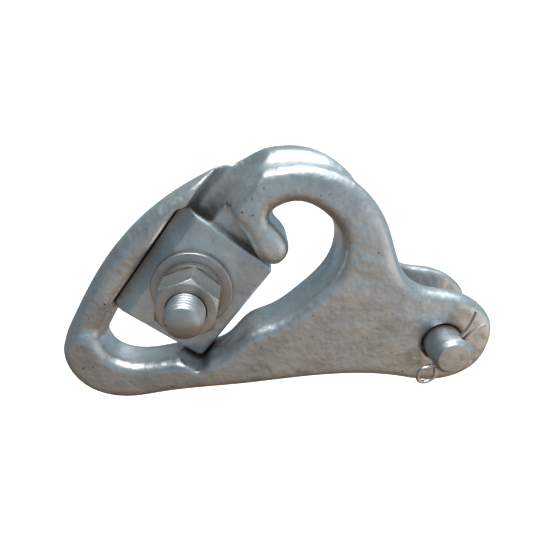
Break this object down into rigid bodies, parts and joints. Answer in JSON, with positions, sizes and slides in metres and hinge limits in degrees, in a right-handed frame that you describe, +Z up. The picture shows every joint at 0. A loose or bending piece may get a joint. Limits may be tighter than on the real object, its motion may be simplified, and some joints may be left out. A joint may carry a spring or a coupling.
{
  "type": "bolted strain clamp",
  "caption": "Cast snail-shaped strain clamp for an overhead line: bolted side keeper plate over a conductor channel, open hook and loop, and a clevis with a pin and split pin.",
  "frame": {"origin": "middle of the clevis pin's grip, halfway between the ears", "axes": "+Z up, Y along the clevis pin and the keeper bolt with the nut towards -Y, the casting reaches away along -X towards the line"},
  "size_m": [0.1885, 0.0586, 0.1162],
  "materials": {
    "cast_zinc": "hot-dip galvanised casting, fine dimples and soft shine",
    "plate_zinc": "hot-dip galvanised plate",
    "washer_zinc": "galvanised, a little duller than the plate",
    "spring_zinc": "galvanised",
    "nut_zinc": "galvanised",
    "bolt_zinc": "galvanised",
    "pin_zinc": "galvanised",
    "split_steel": "bright drawn wire"
  },
  "bodies": {
    "clamp": {"clamp_body": "cast_zinc", "clamp_bolt": "bolt_zinc"},
    "keeper": {"keeper_plate": "plate_zinc", "flat_washer": "washer_zinc", "spring_washer": "spring_zinc"},
    "nut": {"hex_nut": "nut_zinc"},
    "pin": {"clevis_pin": "pin_zinc", "split_pin": "split_steel"}
  },
  "joints": [
    {"name": "keeper_lift", "type": "slide", "parent": "clamp", "child": "keeper", "axis": [0, -1, 0], "range_m": [0, 0.008]},
    {"name": "nut_turn", "type": "hinge", "parent": "keeper", "child": "nut", "pos_m": [-0.1075, -0.012, 0.0155], "axis": [0, -1, 0], "range_deg": [0, 1441]},
    {"name": "pin_spin", "type": "hinge", "parent": "clamp", "child": "pin", "pos_m": [0, 0, 0], "axis": [0, 1, 0], "continuous": true}
  ],
  "couplings": [
    {"joint": "nut_turn", "follows": "keeper_lift", "rad_per_m": 3141.6}
  ]
}
